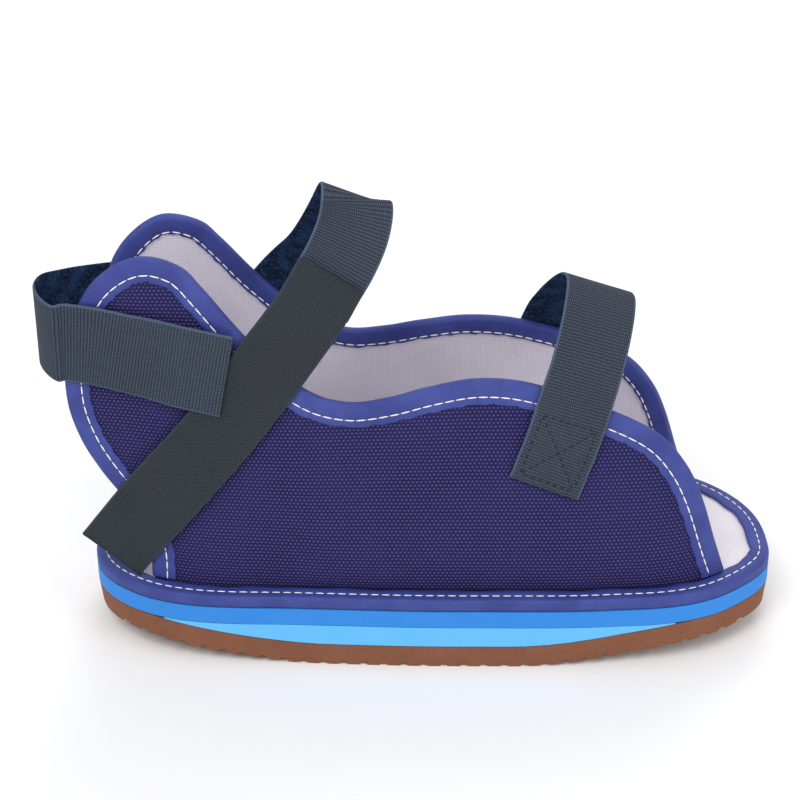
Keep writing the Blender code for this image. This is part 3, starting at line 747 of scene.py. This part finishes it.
def strap_finish(name, width, ground, crown, edge, dash, slant):
    """Woven strap: short threads that catch the light, in rows, and a paler selvedge."""
    recipe = Recipe(name, Specular_IOR_Level=0.25)
    mark, (along, across, face) = recipe.cloth()
    drift = recipe.grain(mark, 240.0, 2.0)
    rows = canvas_weave(across + slant * along + drift * 0.0004, along + drift * 0.0005, *dash)
    slub = recipe.grain(recipe.stretch(mark, (1.6, 0.8, 1.0)), 900.0, 2.0)
    wear = recipe.grain(mark, 35.0, 3.0)
    light = (rows * (0.45 + 1.1 * slub)).step(0.2, 0.95)
    base = recipe.between(wear.step(0.3, 0.75), ground, tuple(0.78 * c for c in ground[:3]) + (1.0,))
    woven = recipe.between(light, base, crown)
    selvedge = across.size().step(width / 2 - SELVEDGE_WIDTH, width / 2 - SELVEDGE_WIDTH / 3)
    recipe.feed("Base Color", recipe.between(selvedge * 0.75, woven, edge))
    recipe.feed("Roughness", 0.86 - 0.2 * light)
    recipe.relief(rows * (0.5 + slub), 0.0004, 0.8)
    return recipe.material


webbing = strap_finish("slate_webbing", STRAP_WIDTH, tint(44, 50, 62), tint(78, 88, 104),
                       tint(84, 102, 128), (0.0008, 0.0013), 0.15)
heel_webbing = strap_finish("slate_heel_webbing", HEEL_STRAP_WIDTH, tint(42, 49, 62),
                            tint(76, 88, 106), tint(80, 98, 122), (0.0008, 0.0013), 0.15)
hook_back = strap_finish("charcoal_hook_back", STRAP_WIDTH, tint(36, 41, 47), tint(66, 74, 82),
                         tint(58, 68, 80), (0.0009, 0.0009), 0.6)

pile = Recipe("loop_pile", Roughness=0.95, Specular_IOR_Level=0.1)
mark, (along, across, face) = pile.cloth()
tuft = pile.grain(mark, 700.0, 4.0, 0.7)
swirl = pile.grain(mark, 160.0, 3.0)
pile_dark = pile.between(swirl.step(0.35, 0.7), tint(20, 26, 50), tint(34, 58, 92))
pile.feed("Base Color", pile.between(tuft.step(0.45, 0.8), pile_dark, tint(60, 92, 132)))
pile.relief(tuft + 0.5 * swirl, 0.0012, 1.0)


def layer_height(over):
    """Height above the canvas where a strap's underside runs."""
    under = CLOTH_GAP + max(TAPE_THICK, PAD_THICK) + GAP
    layers = [CLOTH_GAP, under, under + TAB_THICK + GAP]
    return float(np.interp(over, [0, 1, 2], layers))


class Ribbon:
    """A strap's middle surface through its rows, laid on the quarters where they say so."""

    def __init__(self, rows, loop_height, width, thick):
        path = smooth_path(rows, STRAP_STEPS)
        centres = [Vector((row[0] * HALF_LENGTH, row[1] * HALF_WIDTH,
                           INSOLE_TOP - GAP + row[2] * loop_height)) for row in path]
        self.width, self.thick = width, thick
        self.lines, self.travel = [], [0.0]
        for k, (centre, row) in enumerate(zip(centres, path)):
            run = (centres[min(k + 1, len(path) - 1)] - centres[max(k - 1, 0)]).normalized()
            tilt = math.radians(row[3])
            wide = Vector((math.cos(tilt), 0.0, -math.sin(tilt)))
            wide = (wide - run * wide.dot(run)).normalized()
            quarter = quarters["right" if centre.y < 0 else "left"]
            laid = min(max(row[4], 0.0), 1.0)
            line = []
            for share in ACROSS:
                free = centre + wide * (share * width)
                height = layer_height(row[5]) + thick / 2 + 0.0001
                rest = quarter.above(free.x, free.z - QUARTER_FOOT, height)
                line.append(free.lerp(rest, laid))
            self.lines.append(line)
            if k:
                self.travel.append(self.travel[-1] + (centre - centres[k - 1]).length)

    def normal(self, k, j):
        """Away from the strap's face at one of its points."""
        ahead = self.lines[min(k + 1, len(self.lines) - 1)]
        behind = self.lines[max(k - 1, 0)]
        line = self.lines[k]
        wide = line[min(j + 1, len(line) - 1)] - line[max(j - 1, 0)]
        return (ahead[j] - behind[j]).cross(wide).normalized()

    def at(self, along, across, height):
        """A point over the strap's outer face, along and across in metres."""
        k = min(max(int(np.searchsorted(self.travel, along)) - 1, 0), len(self.lines) - 2)
        share = (along - self.travel[k]) / (self.travel[k + 1] - self.travel[k])
        spread = [s * self.width for s in ACROSS]
        j = min(max(int(np.searchsorted(spread, across)) - 1, 0), len(ACROSS) - 2)
        side = (across - spread[j]) / (spread[j + 1] - spread[j])
        low = self.lines[k][j].lerp(self.lines[k][j + 1], side)
        high = self.lines[k + 1][j].lerp(self.lines[k + 1][j + 1], side)
        return low.lerp(high, share) + self.normal(k, j) * height


def weave_strap(name, ribbon, outer, inner, slot, node, outside=1, ridge=None):
    """Give a ribbon its thickness, with soft edges, a woven outer face and a looped inner one."""
    sections, marks = [], []
    for k, line in enumerate(ribbon.lines):
        swell = ridge(ribbon.travel[k], ribbon.travel[-1]) if ridge else 0.0
        over, under, over_mark, under_mark = [], [], [], []
        for j, place in enumerate(line):
            rim = min(1.0, 0.25 + (0.5 - abs(ACROSS[j])) * ribbon.width / 0.0007)
            half = ribbon.thick / 2 * rim
            normal = ribbon.normal(k, j) * outside
            over.append(place + normal * (half + swell * rim))
            under.append(place - normal * half)
            over_mark.append((ribbon.travel[k], ACROSS[j] * ribbon.width, 1.0))
            under_mark.append((ribbon.travel[k], ACROSS[j] * ribbon.width, 0.0))
        sections.append(over + under[::-1])
        marks.append(over_mark + under_mark[::-1])
    bm = loft(sections, marks)
    cloth = bm.verts.layers.float_vector["cloth"]
    for f in bm.faces:
        f.material_index = 1 if all(v[cloth].z < 0.5 for v in f.verts) else 0
    return make_piece(name, bm, [outer, inner], slot, node)


def seam_ridge(travel, length):
    """The turned end of the ankle strap where the tab is sewn on."""
    return SEAM_HEIGHT * hump(travel, length - SEAM_PLACE, SEAM_SPREAD)


ankle = Ribbon(ANKLE_STRAP, ANKLE_LOOP_HEIGHT, STRAP_WIDTH, WEBBING_THICK)
tab = Ribbon(ANKLE_TAB, ANKLE_LOOP_HEIGHT, STRAP_WIDTH, TAB_THICK)
heel = Ribbon(HEEL_STRAP, HEEL_LOOP_HEIGHT, HEEL_STRAP_WIDTH, WEBBING_THICK)
forefoot = Ribbon(FOREFOOT_STRAP, FOREFOOT_LOOP_HEIGHT, STRAP_WIDTH, WEBBING_THICK)
weave_strap("ankle_webbing", ankle, webbing, pile.material, "loop_webbing", "ankle_strap",
            ridge=seam_ridge)
weave_strap("ankle_hook_tab", tab, hook_back, pile.material, "hook_tape", "ankle_strap_tab")
weave_strap("heel_webbing", heel, heel_webbing, pile.material, "loop_webbing", "heel_strap")
weave_strap("forefoot_webbing", forefoot, webbing, pile.material, "loop_webbing", "forefoot_strap",
            outside=-1)

# Hook pads
# Short rectangles of hook tape sewn flat on the canvas: one on the near lobe under the heel
# strap, one on the far panel under the forefoot strap.
PAD_REST = 0.0001
PAD_LONG_STEPS = 12
PAD_WIDE_STEPS = 8
PADS = {
    # node: side, share of half the length and of the loop height, loop height, length, width, tilt
    "heel_strap_pad": ("right", (-0.825, 0.948), HEEL_LOOP_HEIGHT, 0.024, 0.030, 11),
    "forefoot_strap_pad": ("left", (0.315, 0.520), FOREFOOT_LOOP_HEIGHT, 0.030, 0.024, 22),
}

for node, (side, place, loop_height, length, width, tilt) in PADS.items():
    middle = Vector((place[0] * HALF_LENGTH, place[1] * loop_height))
    run = Vector((math.cos(math.radians(tilt)), -math.sin(math.radians(tilt))))
    wide = Vector((-run.y, run.x))
    spread = [(j / PAD_WIDE_STEPS - 0.5) * width for j in range(PAD_WIDE_STEPS + 1)]
    sections, marks = [], []
    for k in range(PAD_LONG_STEPS + 1):
        off = (k / PAD_LONG_STEPS - 0.5) * length
        line = [middle + run * off + wide * part for part in spread]
        sections.append([quarters[side].above(p.x, p.y, PAD_REST + PAD_THICK) for p in line]
                        + [quarters[side].above(p.x, p.y, PAD_REST) for p in reversed(line)])
        marks.append([(off, part, 1.0) for part in spread]
                     + [(off, part, 0.0) for part in reversed(spread)])
    make_piece(node + "_cloth", loft(sections, marks), [hook_back], "hook_tape", node)

# Strap stitching
# Navy thread: a box with a cross where the forefoot strap is sewn to the near panel.
BOX_ALONG = (0.003, 0.030)
BOX_ACROSS = 0.0115
NAVY_PITCH = 0.0032
NAVY_FILL = 0.6
NAVY_RADIUS = 0.0003
SEAM_POINTS = 12

stitches = bmesh.new()
corners = [(BOX_ALONG[0], -BOX_ACROSS), (BOX_ALONG[1], -BOX_ACROSS), (BOX_ALONG[1], BOX_ACROSS),
           (BOX_ALONG[0], BOX_ACROSS)]
lines = list(zip(corners, corners[1:] + corners[:1])) + [(corners[0], corners[2]),
                                                         (corners[1], corners[3])]
for (a0, c0), (a1, c1) in lines:
    shares = [k / SEAM_POINTS for k in range(SEAM_POINTS + 1)]
    points = [forefoot.at(a0 + (a1 - a0) * share, c0 + (c1 - c0) * share, -WEBBING_THICK / 2)
              for share in shares]
    sew(stitches, points, NAVY_PITCH, NAVY_FILL, NAVY_RADIUS)
make_piece("forefoot_box_stitches", stitches, [navy_thread.material], "loop_webbing")
